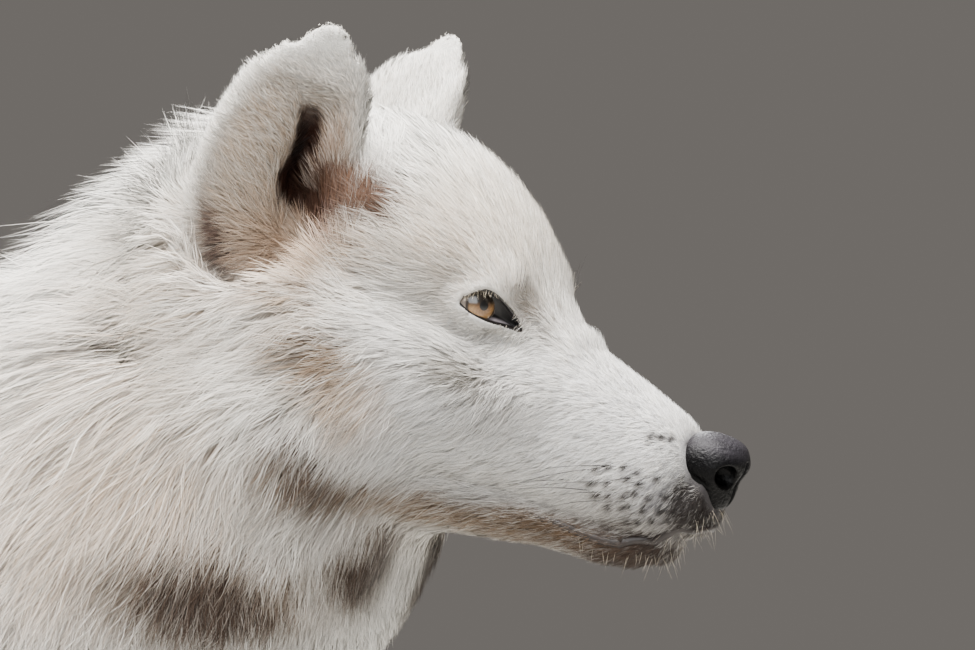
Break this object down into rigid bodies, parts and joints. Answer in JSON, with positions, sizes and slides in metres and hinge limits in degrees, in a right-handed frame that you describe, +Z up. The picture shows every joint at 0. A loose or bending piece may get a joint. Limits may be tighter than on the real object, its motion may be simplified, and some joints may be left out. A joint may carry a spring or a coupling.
{
  "type": "arctic wolf",
  "caption": "Life-size standing white wolf with upright ears, a thick neck ruff and a hanging tail, closed mouth, still, for a museum scene or diorama",
  "frame": {"origin": "on the floor, under the middle of the bounding box", "axes": "+X forward from tail to nose, +Y to the wolf's left, +Z up"},
  "size_m": [1.365, 0.3526, 0.938],
  "materials": {
    "coat": "long dense cream fur, warmer on the neck and back",
    "face_coat": "short cool white fur with tan temples",
    "ear_coat": "short cream fur, brown inside the cup",
    "nose_leather": "damp black pebbled leather",
    "eye": "wet amber iris with a round black pupil",
    "claw": "dark horn"
  },
  "bodies": {
    "root": {"trunk": "coat", "neck": "coat", "tail": "coat", "head": "face_coat", "lower_jaw": "face_coat", "nose_pad": "nose_leather", "ear_left": "ear_coat", "ear_right": "ear_coat", "eye_left": "eye", "eye_right": "eye", "foreleg_left": "coat", "foreleg_right": "coat", "hindleg_left": "coat", "hindleg_right": "coat", "forefoot_left": "coat", "forefoot_right": "coat", "hindfoot_left": "coat", "hindfoot_right": "coat"}
  },
  "joints": []
}
